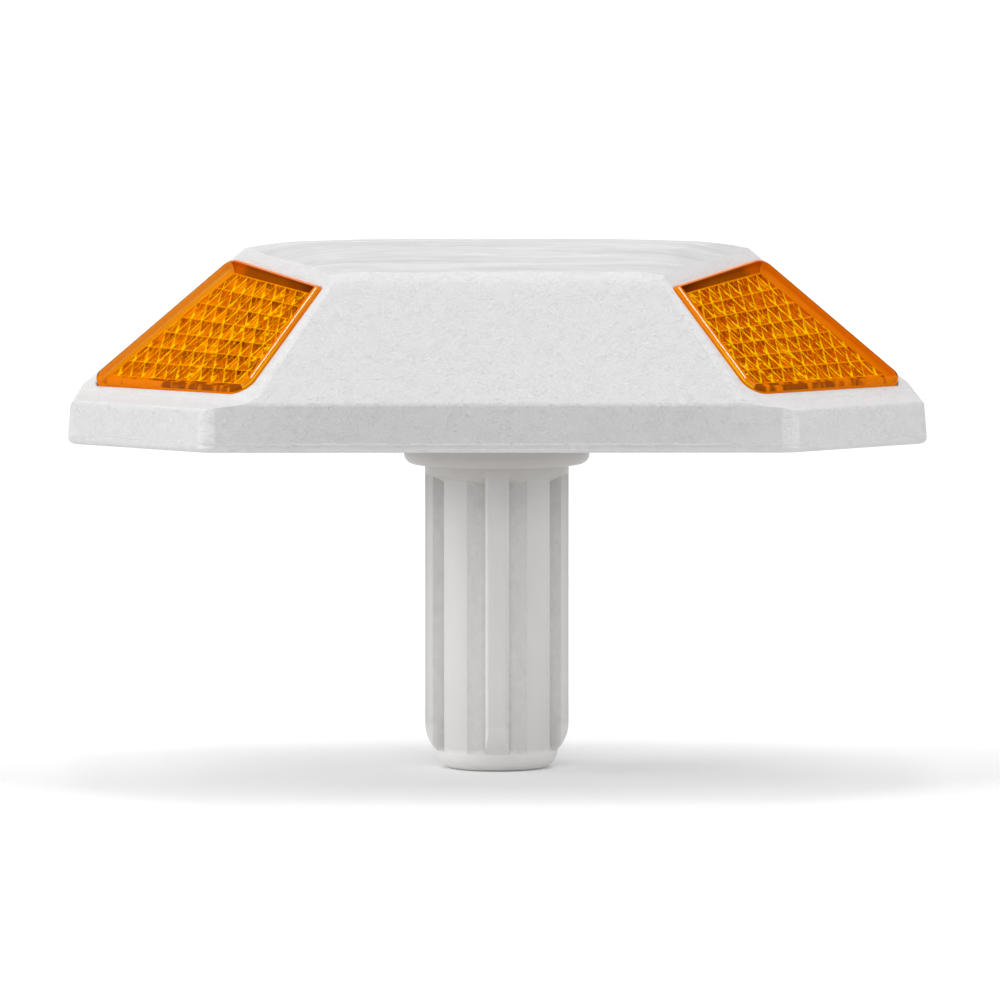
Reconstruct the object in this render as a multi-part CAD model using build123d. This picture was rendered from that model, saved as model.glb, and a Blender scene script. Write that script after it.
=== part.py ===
from build123d import *
import os
from math import atan, atan2, cos, hypot, pi, radians, sin, sqrt, tan

# Road stud: a hollow moulded head with four prismatic lens units, a base plate and a ribbed shank.
# Millimetres. +Z is up, X runs along the head, and the road surface is the plane z = 0 with the
# shank's axis through the origin. Front is -Y and left is -X. The head is alike in all four quarters,
# so a quarter's pieces are drawn at +X +Y, which is rear right, and mirrored.

# Head, outside
head_length = 99.3
head_depth = 70.0
corner_cut = 16.1           # leg of each 45 degree corner in plan
corner_radius = 3.2
wall_draft = 5.0            # degrees off the vertical
lip_height = 5.55           # top of the lip along the front and the rear
corner_lip_height = 5.0     # along the corners
end_lip_height = 4.7        # and along the ends
lip_radius = 0.8
ridge_setback = 5.2         # along the front, from a corner of the plan to the foot of a ridge
front_slope = 36.3
lens_slope = 34.6
end_slope = 40.8
ridge_radius = 3.5          # front face to lens face
end_ridge_radius = 0.4      # lens face to end face
cove_radius = 5.0           # corner lip to lens face
crown_slope = 15.6
crown_ridge = 23.8          # where the two slopes of the crown would meet
crown_radius = 25.0
crown_tip_radius = 3.0
crown_ease = 0.12           # lower where the crown starts to fall towards its tips
top_band_slope = 26.0       # soft band under the front and rear edges of the crown
top_band_drop = 0.65
top_band_radius = 5.0
ridge_clearance = 0.006     # how far the rounded trimming form stands off the faces it shares
joint_groove = 0.12         # small chamfers that show the joint of the shell and the base plate

# Head, inside
shell_wall = 2.5
pocket_floor = 1.8
boss_bore = 24.0
boss_wall = 2.0
rib_thickness = 2.0
rib_count = 8

# Lens units
bottom_margin = 1.8         # from the lens to the edges of its face
ridge_margin_low = 1.85
ridge_margin_high = 0.55
top_margin_ridge = 2.45
top_margin_end = 2.95
end_margin_high = 1.55
end_margin_low = 0.3
lens_corner_radii = (0.9, 2.0, 0.9, 1.3)    # end bottom, ridge bottom, ridge top, end top
least_corner_radius = 0.3
lens_gap = 0.08             # all round, to the pocket's wall
lens_rise = 0.6             # how far the lens stands out of its face
lens_plate = 1.3            # clear front of the lens
lens_border = 1.3           # rim round the prisms
lens_edge_radius = 0.55
pocket_mouth = 0.1          # chamfer round each pocket
prism_step = 0.15
prism_margins = (1.75, 1.45, 1.6, 1.5)      # to the lens's edge at the bottom, ridge, top and end
prism_depth = 0.75
prism_rows = 7
prism_columns = 9
air_gap = 0.12
backing_thickness = 0.7
backing_gap = 0.05
backing_seat = 0.5

# Base plate
base_edge = 1.0             # visible edge below the joint
base_radius = 0.7
base_rise = 1.5             # locating step inside the shell
step_gap = 0.1
waffle_cell = 6.4
waffle_rib = 2.4
waffle_depth = 1.2
waffle_border = 4.5         # plain margin round the waffle
hub_diameter = 20.0
hub_height = 7.0

# Shank
flange_diameter = 21.8
flange_bottom = 3.65        # below the road face, next to the shaft
flange_fall = 0.25          # slant of the underside
flange_radius = 1.2
flange_inset = 0.4          # how far the flange goes up into the base plate
flange_gap = 0.15
seal_diameter = 20.2
seal_thickness = 0.8
seal_width = 3.2
rib_diameter = 16.9
shank_end = 39.3            # below the road face
core_diameter = 14.26       # also of the end cap
core_flat = 12.4            # across the flats that carry the ribs
rib_width = 2.76
rib_face = 2.0
rib_chamfer_depth = 0.94
flute_top = 5.6             # below the road face, at the core
flute_run_out = 1.0         # how much higher the slanted flute end meets the outside
cap_height = 2.1
cap_radius = 2.0
rib_end_curve = 4.5
spigot_diameter = 12.0
spigot_height = 3.9
spigot_gap = 0.1

# Fastening inside
bolt_diameter = 6.0
bolt_length = 20.0
bolt_head_width = 10.0
bolt_head_height = 4.0
bolt_head_chamfer = 0.5
bolt_head_bevel = 1.0       # the same chamfer across the top
bolt_gap = 0.3
washer_diameter = 12.0
washer_thickness = 1.6
insert_diameter = 8.6
insert_length = 13.0
insert_groove = 0.5
insert_groove_depth = 0.35
hole_run_on = 2.0

# How near two places or two directions count as the same
same_place = 0.01
same_way = 0.001

# Reach of the solids that cut and trim
reach = 12.0
root2 = sqrt(2)
base_top = base_edge + base_rise
module_depth = (
    lens_plate + prism_step + prism_depth + air_gap + backing_thickness - lens_rise
)
trim_height = crown_ridge + 1.0


# A face seen edge on is its slope from the horizontal and its distance from the axis
def edge_on(slope, across, height, inset):
    angle = radians(slope)
    return angle, sin(angle) * across + cos(angle) * height - inset


# The line inside an edge, at one distance from its start and another from its end
def side_line(start, end, start_inset, end_inset):
    inward = (end - start).normalized().rotate(Axis.Z, 90)
    first = start + inward * start_inset
    last = end + inward * end_inset
    angle = atan2(last.Y - first.Y, first.X - last.X)
    return angle, sin(angle) * first.X + cos(angle) * first.Y


def drawn_in(face, inset):
    return face[0], face[1] - inset


def meet(first, second):
    turn = sin(first[0] - second[0])
    across = (first[1] * cos(second[0]) - second[1] * cos(first[0])) / turn
    height = (second[1] * sin(first[0]) - first[1] * sin(second[0])) / turn
    return across, height


# Places that several pieces share, all on the outside of the head
wall_slope = 90 - wall_draft
corner_reach = (head_length / 2 + head_depth / 2 - corner_cut) / root2
front_wall = edge_on(wall_slope, head_depth / 2, base_edge, 0)
end_wall = edge_on(wall_slope, head_length / 2, base_edge, 0)
corner_wall = edge_on(wall_slope, corner_reach, base_edge, 0)
lip_y = meet(front_wall, (0, lip_height))[0]
ridge_foot = head_length / 2 - corner_cut - ridge_setback
lip_x = meet(end_wall, (0, end_lip_height))[0]
lip_corner = meet(corner_wall, (0, corner_lip_height))[0]
lens_foot = (ridge_foot + lip_y) / root2
ledge_slope = atan((lip_height - corner_lip_height) / (lip_corner - lens_foot)) * 180 / pi
lens_tilt = radians(lens_slope)
ledge_face = edge_on(ledge_slope, lip_corner, corner_lip_height, 0)
lens_face = edge_on(lens_slope, lens_foot, lip_height, 0)
front_face = edge_on(front_slope, lip_y, lip_height, 0)
end_face = edge_on(end_slope, lip_x, end_lip_height, 0)
crown_face = edge_on(crown_slope, 0, crown_ridge, 0)
crown_crest = crown_ridge - crown_radius * (1 / cos(radians(crown_slope)) - 1)
top_edge_y, top_edge_height = meet(front_face, crown_face)
lens_at_middle = edge_on(atan(tan(lens_tilt) / root2) * 180 / pi, lens_foot * root2, lip_height, 0)
tip_x, tip_height = meet(end_face, lens_at_middle)
top_edge_x = root2 * (lens_foot - (top_edge_height - lip_height) / tan(lens_tilt)) - top_edge_y

corner_planes = [
    Plane(origin=(0, 0, 0), x_dir=(1, 1, 0), z_dir=(1, -1, 0)),
    Plane(origin=(0, 0, 0), x_dir=(-1, 1, 0), z_dir=(1, 1, 0)),
]
lens_plane = Plane(
    origin=(lens_foot / root2, lens_foot / root2, lip_height),
    x_dir=(-1, 1, 0),
    z_dir=(sin(lens_tilt), sin(lens_tilt), root2 * cos(lens_tilt)),
)


def plan_outline(inset):
    half_length = head_length / 2 - inset
    half_depth = head_depth / 2 - inset
    cut = corner_cut - (2 - root2) * inset
    quarter = [(half_length, half_depth - cut), (half_length - cut, half_depth)]
    half = quarter + [(-x, y) for x, y in reversed(quarter)]
    outline = Polygon(*half, *[(-x, -y) for x, y in half])
    return fillet(outline.vertices(), corner_radius)


# A prism whose section has the given faces, from the bottom to the top, on both sides
def sided_prism(plane, faces, roundings):
    corners = [meet(lower, upper) for lower, upper in zip(faces, faces[1:])]
    section = Polygon(*corners, *[(-x, z) for x, z in reversed(corners)])
    for number, radius in roundings:
        x, z = corners[number]
        both = [v for v in section.vertices() if hypot(abs(v.X) - x, v.Y - z) < same_place]
        section = fillet(both, radius)
    return extrude(plane * section, head_length, both=True)


def crown_section(x, ridge, radius):
    slope = radians(crown_slope)
    far = head_depth / 2 + reach
    turn = radius * sin(slope)
    crest = ridge - radius * (1 / cos(slope) - 1)
    shoulder = ridge - turn * tan(slope)
    foot = ridge - far * tan(slope)
    lid = crown_ridge + reach
    section = make_face(
        [
            Line((-far, foot), (-turn, shoulder)),
            ThreePointArc((-turn, shoulder), (0, crest), (turn, shoulder)),
            Line((turn, shoulder), (far, foot)),
            Polyline((far, foot), (far, lid), (-far, lid), (-far, foot)),
        ]
    )
    return Plane.YZ.offset(x) * section


# What lies above the crown: level over the middle, and falling to the tips at both ends
def crown_cutter():
    fall = (crown_ridge - tip_height) / (tip_x - top_edge_x)
    halfway = (top_edge_x + tip_x) / 2
    halfway_radius = (crown_radius - crown_tip_radius) / 4 + crown_tip_radius
    beyond = 2 * tip_x - halfway
    stations = [
        (top_edge_x / 3, 0, crown_radius),
        (top_edge_x * 2 / 3, 0, crown_radius),
        (top_edge_x, crown_ease, crown_radius),
        (halfway, fall * (halfway - top_edge_x), halfway_radius),
        (tip_x, fall * (tip_x - top_edge_x), crown_tip_radius),
        (beyond, fall * (beyond - top_edge_x), crown_tip_radius),
    ]
    left = [(-x, drop, radius) for x, drop, radius in reversed(stations)]
    every = left + [(0, 0, crown_radius)] + stations
    return loft([crown_section(x, crown_ridge - drop, radius) for x, drop, radius in every])


def shared_form(front, end, corner, wall, roundings):
    lip, soft_edge, cove = roundings
    form = sided_prism(Plane.YZ, front, lip + soft_edge) & sided_prism(Plane.XZ, end, lip)
    for plane in corner_planes:
        form = form & sided_prism(plane, corner, lip + cove)
    plan = extrude(Pos(0, 0, base_edge) * plan_outline(wall), trim_height, taper=wall_draft)
    return form & plan


# The head's outside
def head_form():
    top = (0, trim_height)
    base = (0, base_edge)
    band_height = top_edge_height - top_band_drop
    band_y = meet(front_face, (0, band_height))[0]
    front = [base, front_wall, front_face, edge_on(top_band_slope, band_y, band_height, 0), top]
    end = [base, end_wall, end_face, top]
    corner = [base, corner_wall, ledge_face, lens_face, top]
    roundings = [(1, lip_radius)], [(2, top_band_radius)], [(2, cove_radius)]
    form = shared_form(front, end, corner, 0, roundings)
    return (form & rounded_ridges()) - crown_cutter()


# The same form with plain edges, drawn in by a wall and behind the lenses by the depth of their pockets
def inner_form(wall, lens_wall):
    top = (0, crown_crest - wall)
    base = (0, base_edge)
    fall_slope = atan((crown_ridge - tip_height) / (tip_x - top_edge_x)) * 180 / pi
    front = [
        base,
        drawn_in(front_wall, wall),
        drawn_in(front_face, wall),
        drawn_in(crown_face, wall),
        top,
    ]
    end = [
        base,
        drawn_in(end_wall, wall),
        drawn_in(end_face, wall),
        edge_on(fall_slope, tip_x, tip_height, wall),
        top,
    ]
    corner = [
        base,
        drawn_in(corner_wall, wall),
        drawn_in(ledge_face, wall),
        drawn_in(lens_face, lens_wall),
        top,
    ]
    return shared_form(front, end, corner, wall, ([], [], []))


def edges_along(part, first, second):
    along = first.cross(second).normalized()
    found = []
    for edge in part.edges().filter_by(GeomType.LINE):
        way = edge.tangent_at(0.5)
        if all(abs(abs(a) - abs(b)) < same_way for a, b in zip(way, along)):
            found.append(edge)
    return found


# A form with soft ridges between its sloping faces, which trims the head above the lip
def rounded_ridges():
    base = (0, 0)
    top = (0, trim_height + ridge_clearance)
    front = [base, drawn_in(front_face, -ridge_clearance), top]
    end = [base, drawn_in(end_face, -ridge_clearance), top]
    corner = [base, drawn_in(lens_face, -ridge_clearance), top]
    form = sided_prism(Plane.YZ, front, []) & sided_prism(Plane.XZ, end, [])
    for plane in corner_planes:
        form = form & sided_prism(plane, corner, [])
    front_normal = Vector(0, sin(radians(front_slope)), cos(radians(front_slope)))
    end_normal = Vector(sin(radians(end_slope)), 0, cos(radians(end_slope)))
    form = fillet(edges_along(form, front_normal, lens_plane.z_dir), ridge_radius)
    form = fillet(edges_along(form, end_normal, lens_plane.z_dir), end_ridge_radius)
    cove_top = cove_radius * sin(lens_tilt) * tan(radians(lens_slope - ledge_slope) / 2)
    lip_zone = lip_height + cove_top
    return form + Pos(0, 0, lip_zone / 2) * Box(2 * head_length, 2 * head_depth, lip_zone)


def four_quarters(piece):
    rear = [piece, piece.mirror(Plane.YZ)]
    return rear + [quarter.mirror(Plane.XZ) for quarter in rear]


# Lens units, drawn with their face in the lens plane of the rear right quarter
def lens_quad(insets):
    end_x = lip_x - (lip_height - end_lip_height) / tan(radians(end_slope))
    up = sin(lens_tilt)
    end_foot = Vector(lens_foot - root2 * end_x, 0)
    ridge_low = Vector((lip_y - ridge_foot) / root2, 0)
    ridge_high = Vector((top_edge_y - top_edge_x) / root2, (top_edge_height - lip_height) / up)
    end_top = Vector(-tip_x / root2, (tip_height - lip_height) / up)
    margins = [
        (end_foot, ridge_low, bottom_margin, bottom_margin),
        (ridge_low, ridge_high, ridge_margin_low, ridge_margin_high),
        (ridge_high, end_top, top_margin_ridge, top_margin_end),
        (end_top, end_foot, end_margin_high, end_margin_low),
    ]
    sides = [drawn_in(side_line(*margin), inset) for margin, inset in zip(margins, insets)]
    return [meet(sides[number - 1], sides[number]) for number in range(4)]


def lens_outline(inset):
    corners = lens_quad([inset] * 4)
    outline = Polygon(*corners)
    for corner, radius in zip(corners, lens_corner_radii):
        sharp = outline.vertices().sort_by_distance(Vector(*corner))[0]
        outline = fillet(sharp, max(radius - inset, least_corner_radius))
    return outline


def lens_slab(inset, upper, lower):
    return extrude(Pos(0, 0, -lower) * lens_outline(inset), lower - upper)


# One line of lattice points across the prism field; every second line is shifted by half a prism
def lattice_line(quad, row):
    steps = [number / prism_columns for number in range(prism_columns + 1)]
    if row % 2:
        middles = [step - 0.5 / prism_columns for step in steps[1:]]
        steps = [0.0] + middles + [1.0]
    up = row / prism_rows
    points = []
    for step in steps:
        lower = Vector(*quad[0]) * (1 - step) + Vector(*quad[1]) * step
        upper = Vector(*quad[3]) * (1 - step) + Vector(*quad[2]) * step
        points.append(lower * (1 - up) + upper * up)
    return points


# Triangles between two lattice lines, of which the longer one is the shifted one
def strip_triangles(first, second):
    plain, shifted = sorted([first, second], key=len)
    triangles = []
    for number, corner in enumerate(plain):
        triangles.append((shifted[number], corner, shifted[number + 1]))
        if number + 1 < len(plain):
            triangles.append((corner, plain[number + 1], shifted[number + 1]))
    return triangles


# The field of three-sided pyramids that points into the air gap
def prism_field(root_depth, base_depth):
    quad = lens_quad(prism_margins)
    lines = [lattice_line(quad, row) for row in range(prism_rows + 1)]
    base = Vector(0, 0, -base_depth)
    root = Vector(0, 0, -root_depth)
    peak = Vector(0, 0, -base_depth - prism_depth)
    faces = []
    for lower, upper in zip(lines, lines[1:]):
        for a, b, c in strip_triangles(lower, upper):
            apex = (a + b + c) / 3 + peak
            for start, end in [(a, b), (b, c), (c, a)]:
                faces.append(Face(Wire.make_polygon([start + base, end + base, apex])))
    ridge_side = [line[-1] for line in lines]
    end_side = [line[0] for line in lines]
    borders = [lines[0], ridge_side, lines[-1][::-1], end_side[::-1]]
    for border in borders:
        wall = [point + base for point in border] + [border[-1] + root, border[0] + root]
        faces.append(Face(Wire.make_polygon(wall)))
    faces.append(Face(Wire.make_polygon([Vector(*corner) + root for corner in quad])))
    return Solid(Shell(faces))


def lens():
    plate_back = lens_plate - lens_rise
    seat = module_depth - backing_thickness
    body = lens_slab(0, -lens_rise, module_depth)
    front_edges = body.edges().group_by(Axis.Z)[-1]
    body = fillet(front_edges, lens_edge_radius)
    body = body - lens_slab(lens_border, plate_back, seat)
    body = body - lens_slab(lens_border - backing_seat, seat, module_depth)
    body = body + prism_field(plate_back - prism_step, plate_back + prism_step)
    return lens_plane * body


def lens_backing():
    inset = lens_border - backing_seat + backing_gap
    return lens_plane * lens_slab(inset, module_depth - backing_thickness, module_depth)


def lens_pocket():
    opening = lens_slab(-lens_gap, -reach, module_depth)
    mouth = extrude(Pos(0, 0, -pocket_mouth) * lens_outline(-lens_gap), 2 * pocket_mouth, taper=-45)
    return lens_plane * (opening + mouth)


def body_shell():
    pocket_depth = module_depth + pocket_floor
    shell = head_form() - inner_form(shell_wall, pocket_depth)
    groove = extrude(Pos(0, 0, base_edge) * plan_outline(-reach), joint_groove)
    groove = groove - extrude(Pos(0, 0, base_edge) * plan_outline(joint_groove), joint_groove, taper=-45)
    shell = shell - groove
    stiffening = Circle(boss_bore / 2 + boss_wall)
    for number in range(rib_count):
        rib = Pos(head_length / 2, 0) * Rectangle(head_length, rib_thickness)
        stiffening = stiffening + Rot(0, 0, (number + 0.5) * 360 / rib_count) * rib
    stiffening = stiffening - Circle(boss_bore / 2)
    stiffening = extrude(Pos(0, 0, base_top) * stiffening, crown_ridge)
    rooted = inner_form(shell_wall / 2, pocket_depth - pocket_floor / 2)
    shell = shell + (stiffening & rooted)
    for pocket in four_quarters(lens_pocket()):
        shell = shell - pocket
    return shell


def base_plate():
    plate = extrude(plan_outline(0), base_edge)
    plate = fillet(plate.edges().group_by(Axis.Z)[0], base_radius)
    plate = chamfer(plate.edges().group_by(Axis.Z)[-1], joint_groove)
    step = extrude(Pos(0, 0, base_edge / 2) * plan_outline(shell_wall + step_gap), base_edge / 2)
    step = step + extrude(
        Pos(0, 0, base_edge) * plan_outline(shell_wall + step_gap), base_rise, taper=wall_draft
    )
    hub = Pos(0, 0, hub_height / 2) * Cylinder(hub_diameter / 2, hub_height)
    plate = plate + step + hub
    recess_radius = flange_diameter / 2 + flange_gap
    zone = plan_outline(waffle_border) - Circle(recess_radius + waffle_rib)
    pitch = waffle_cell + waffle_rib
    cell = Rectangle(waffle_cell, waffle_cell)
    columns = int((head_length - 2 * waffle_border + waffle_rib) / pitch)
    rows = int((head_depth - 2 * waffle_border + waffle_rib) / pitch)
    for place in GridLocations(pitch, pitch, columns, rows):
        for trimmed in ((place * cell) & zone).faces():
            if trimmed.area > waffle_cell**2 / 2:
                plate = plate - extrude(trimmed, waffle_depth)
    recess = flange_inset + seal_thickness
    plate = plate - Pos(0, 0, recess / 2) * Cylinder(recess_radius, recess)
    bore = spigot_height + spigot_gap
    plate = plate - Pos(0, 0, bore / 2) * Cylinder(spigot_diameter / 2 + spigot_gap, bore)
    return plate - Pos(0, 0, hub_height / 2) * Cylinder(bolt_diameter / 2 + bolt_gap, 2 * hub_height)


def shank_section():
    section = Circle(core_diameter / 2) & Rectangle(core_flat, core_flat)
    outer = rib_diameter / 2
    root = outer - rib_chamfer_depth
    side = [(0, -rib_width / 2), (root, -rib_width / 2), (outer, -rib_face / 2)]
    rib = Polygon(*side, *[(x, -y) for x, y in reversed(side)])
    for turn in range(4):
        section = section + Rot(0, 0, 90 * turn) * rib
    return section


def shank():
    outer = rib_diameter / 2
    core = core_diameter / 2
    flange = flange_diameter / 2
    cap_top = cap_height - shank_end
    # the ribs' ends curve in until they meet the end cap
    drop = sqrt(rib_end_curve**2 - (rib_end_curve - (outer - core)) ** 2)
    curve_start = cap_top + drop
    curve_angle = atan2(drop, rib_end_curve - (outer - core)) / 2
    curve_middle = (
        outer - rib_end_curve * (1 - cos(curve_angle)),
        curve_start - rib_end_curve * sin(curve_angle),
    )
    envelope = make_face(
        [
            Polyline((0, cap_top), (0, 0), (outer, 0), (outer, curve_start)),
            ThreePointArc((outer, curve_start), curve_middle, (core, cap_top)),
            Line((core, cap_top), (0, cap_top)),
        ]
    )
    ribbed = extrude(Pos(0, 0, -shank_end) * shank_section(), shank_end)
    ribbed = ribbed & revolve(Plane.XZ * envelope, Axis.Z)
    turned = Polygon(
        (0, -shank_end),
        (core, -shank_end),
        (core, cap_top),
        (0, cap_top),
    )
    cap = revolve(Plane.XZ * turned, Axis.Z)
    cap = fillet(cap.edges().group_by(Axis.Z)[0], cap_radius)
    collar = Polygon(
        (0, -flute_top),
        (core_flat / 2, -flute_top),
        (outer, flute_run_out - flute_top),
        (outer, -flange_bottom),
        (flange, flange_fall - flange_bottom),
        (flange, flange_inset),
        (spigot_diameter / 2, flange_inset),
        (spigot_diameter / 2, spigot_height),
        (0, spigot_height),
    )
    low_rim = [v for v in collar.vertices() if v.X > flange - same_place and v.Y < 0]
    collar = fillet(low_rim, flange_radius)
    part = revolve(Plane.XZ * collar, Axis.Z) + ribbed + cap
    part = part - Pos(0, 0, spigot_height - insert_length / 2) * Cylinder(insert_diameter / 2, insert_length)
    hole_depth = bolt_length - hub_height - washer_thickness + hole_run_on
    hole = Pos(0, 0, -hole_depth / 2) * Cylinder(bolt_diameter / 2 + bolt_gap, hole_depth)
    return part - hole


def ring(outer, inner, bottom, height):
    section = Circle(outer / 2) - Circle(inner / 2)
    return extrude(Pos(0, 0, bottom) * section, height)


def shank_insert():
    insert = ring(insert_diameter, bolt_diameter, spigot_height - insert_length, insert_length)
    for share in (1, 2):
        height = spigot_height - insert_length * share / 3
        groove_floor = insert_diameter - 2 * insert_groove_depth
        insert = insert - ring(
            insert_diameter + insert_groove, groove_floor, height - insert_groove, 2 * insert_groove
        )
    return insert


def shank_bolt():
    seat = hub_height + washer_thickness
    head_circle = bolt_head_width / sqrt(3)
    head = extrude(RegularPolygon(bolt_head_width / 2, 6, major_radius=False), bolt_head_height)
    round_top = Pos(0, 0, bolt_head_height / 2) * Cylinder(head_circle, bolt_head_height)
    round_top = chamfer(round_top.edges().group_by(Axis.Z)[-1], bolt_head_chamfer, bolt_head_bevel)
    stem = Pos(0, 0, -bolt_length / 2) * Cylinder(bolt_diameter / 2, bolt_length)
    stem = chamfer(stem.edges().group_by(Axis.Z)[0], bolt_head_chamfer)
    return Pos(0, 0, seat) * ((head & round_top) + stem)


os.makedirs("parts", exist_ok=True)
export_step(body_shell(), "parts/body_shell.step")
export_step(base_plate(), "parts/base_plate.step")
export_step(shank(), "parts/shank.step")
quarters = ["rear_right", "rear_left", "front_right", "front_left"]
for quarter, piece in zip(quarters, four_quarters(lens())):
    export_step(piece, f"parts/lens_{quarter}.step")
for quarter, piece in zip(quarters, four_quarters(lens_backing())):
    export_step(piece, f"parts/lens_backing_{quarter}.step")
seal = ring(seal_diameter, seal_diameter - 2 * seal_width, flange_inset, seal_thickness)
export_step(seal, "parts/flange_seal.step")
washer = ring(washer_diameter, bolt_diameter + 2 * bolt_gap, hub_height, washer_thickness)
export_step(washer, "parts/bolt_washer.step")
export_step(shank_insert(), "parts/shank_insert.step")
export_step(shank_bolt(), "parts/shank_bolt.step")
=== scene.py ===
import math
import random
import bpy
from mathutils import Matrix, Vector


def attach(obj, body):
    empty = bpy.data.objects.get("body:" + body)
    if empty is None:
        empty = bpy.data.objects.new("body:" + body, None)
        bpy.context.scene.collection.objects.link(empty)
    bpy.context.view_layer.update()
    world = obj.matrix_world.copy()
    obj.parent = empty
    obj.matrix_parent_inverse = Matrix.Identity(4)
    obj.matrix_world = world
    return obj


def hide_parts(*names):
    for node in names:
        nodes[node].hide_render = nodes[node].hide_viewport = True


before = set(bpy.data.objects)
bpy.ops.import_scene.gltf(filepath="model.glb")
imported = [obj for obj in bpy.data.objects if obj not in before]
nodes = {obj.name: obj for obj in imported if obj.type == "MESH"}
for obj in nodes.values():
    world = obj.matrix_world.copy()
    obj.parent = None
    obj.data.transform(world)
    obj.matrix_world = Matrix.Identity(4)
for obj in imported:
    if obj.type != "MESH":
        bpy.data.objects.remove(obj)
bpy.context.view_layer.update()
mm = 0.001
print("frame loaded:", len(nodes), "pieces")


# a socket that can be used in plain sums
class Val:
    def __init__(self, tree, socket):
        self.tree = tree
        self.socket = socket

    def __add__(self, other):
        return self.tree.sums("ADD", self, other)

    def __radd__(self, other):
        return self.tree.sums("ADD", other, self)

    def __sub__(self, other):
        return self.tree.sums("SUBTRACT", self, other)

    def __rsub__(self, other):
        return self.tree.sums("SUBTRACT", other, self)

    def __mul__(self, other):
        return self.tree.sums("MULTIPLY", self, other)

    def __rmul__(self, other):
        return self.tree.sums("MULTIPLY", other, self)

    def __abs__(self):
        return self.tree.sums("ABSOLUTE", self, 0.0)


class Tree:
    def __init__(self, nodeTree):
        self.nodeTree = nodeTree

    # settings first, then the sockets by name or number; several outputs come back as a list
    def node(self, kind, settings=None, sockets=None, out=0):
        made = self.nodeTree.nodes.new(kind)
        for key, value in (settings or {}).items():
            setattr(made, key, value)
        for key, value in (sockets or {}).items():
            if isinstance(value, Val):
                self.nodeTree.links.new(value.socket, made.inputs[key])
            else:
                made.inputs[key].default_value = value
        if isinstance(out, tuple):
            return [Val(self, made.outputs[key]) for key in out]
        return Val(self, made.outputs[out]) if made.outputs else None

    def sums(self, operation, first, second):
        return self.node("ShaderNodeMath", {"operation": operation}, {0: first, 1: second})

    def clamp(self, value):
        return self.node("ShaderNodeClamp", {}, {"Value": value})

    def smallest(self, first, second):
        return self.sums("MINIMUM", first, second)

    def largest(self, first, second):
        return self.sums("MAXIMUM", first, second)

    # 0 below low, 1 above high, soft between
    def rise(self, value, low, high):
        return self.node("ShaderNodeMapRange", {"interpolation_type": "SMOOTHSTEP"},
                         {"Value": value, "From Min": low, "From Max": high})

    def fall(self, value, low, high):
        return 1 - self.rise(value, low, high)

    # 1 from the first soft step up to the second
    def between(self, value, first, second):
        return self.rise(value, *first) * self.fall(value, *second)

    # 1 within half the width of zero, 0 beyond the width
    def near(self, value, width):
        return self.fall(abs(value), 0.5 * width, width)

    def colour(self, value):
        return value if isinstance(value, Val) else (*value, 1.0)

    def mix(self, share, first, second):
        return self.node("ShaderNodeMix", {"data_type": "RGBA"},
                         {0: share, 6: self.colour(first), 7: self.colour(second)}, out=2)

    def tint(self, colour, share):
        grey = self.node("ShaderNodeCombineColor", {}, {0: share, 1: share, 2: share})
        return self.node("ShaderNodeMix", {"data_type": "RGBA", "blend_type": "MULTIPLY"},
                         {0: 1.0, 6: self.colour(colour), 7: grey}, out=2)

    # place in metres
    def place(self):
        return self.node("ShaderNodeTexCoord", out="Object")

    def direction(self):
        return self.node("ShaderNodeNewGeometry", out="Normal")

    def parts(self, vector, axes=(0, 1, 2)):
        return self.node("ShaderNodeSeparateXYZ", {}, {0: vector}, out=axes)

    # a larger stretch along an axis makes the pattern finer along it
    def noise(self, vector, scale=1.0, detail=2.0, roughness=0.5, distortion=0.0, stretch=None):
        if stretch:
            vector = self.node("ShaderNodeMapping", {}, {"Vector": vector, "Scale": stretch})
        return self.node("ShaderNodeTexNoise", {}, {"Vector": vector, "Scale": scale, "Detail": detail,
                         "Roughness": roughness, "Distortion": distortion})

    # channels 0 to 2 of a layer of the mesh, and 3 for its alpha
    def layer(self, name, channels):
        vector, last = self.node("ShaderNodeAttribute", {"attribute_name": name}, out=("Vector", "Alpha"))
        values = self.parts(vector) + [last]
        return [values[channel] for channel in channels]

    def bump(self, height, distance):
        return self.node("ShaderNodeBump", {}, {"Height": height, "Strength": 1.0, "Distance": distance})


def surface(name, build, constants):
    material = bpy.data.materials.new(name)
    material.use_nodes = True
    material.node_tree.nodes.clear()
    tree = Tree(material.node_tree)
    sockets = dict(constants)
    sockets.update(build(tree))
    shader = tree.node("ShaderNodeBsdfPrincipled", {}, sockets)
    tree.node("ShaderNodeOutputMaterial", {}, {"Surface": shader})
    return material


def dress(nodeName, material):
    mesh = nodes[nodeName].data
    mesh.materials.clear()
    mesh.materials.append(material)


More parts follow.
